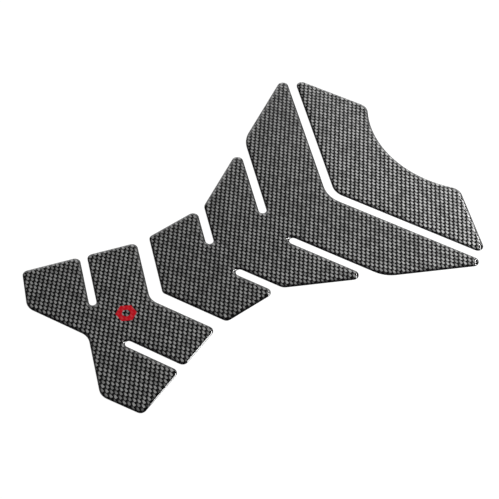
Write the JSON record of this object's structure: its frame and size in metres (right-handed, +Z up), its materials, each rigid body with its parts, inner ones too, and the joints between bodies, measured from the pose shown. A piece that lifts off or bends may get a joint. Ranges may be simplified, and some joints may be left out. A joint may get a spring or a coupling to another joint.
{
  "type": "motorcycle tank pad",
  "caption": "Segmented stick-on fuel tank protector: woven-look printed film under clear domed resin, with chevron relief slots and a round recess for the filler cap.",
  "frame": {"origin": "on the surface that the pad sticks to, under the middle of its length, on its axis", "axes": "+X along the pad towards the filler cap, +Y to the rider's left, +Z up out of the surface"},
  "size_m": [0.2082, 0.1508, 0.0014],
  "materials": {
    "printed_film": "self-adhesive vinyl film printed with a dark grey woven pattern",
    "clear_resin": "clear flexible polyurethane resin, cast glossy with rounded edges"
  },
  "bodies": {
    "root": {"rear_film": "printed_film", "rear_dome": "clear_resin", "middle_film": "printed_film", "middle_dome": "clear_resin", "front_film": "printed_film", "front_dome": "clear_resin"}
  },
  "joints": []
}
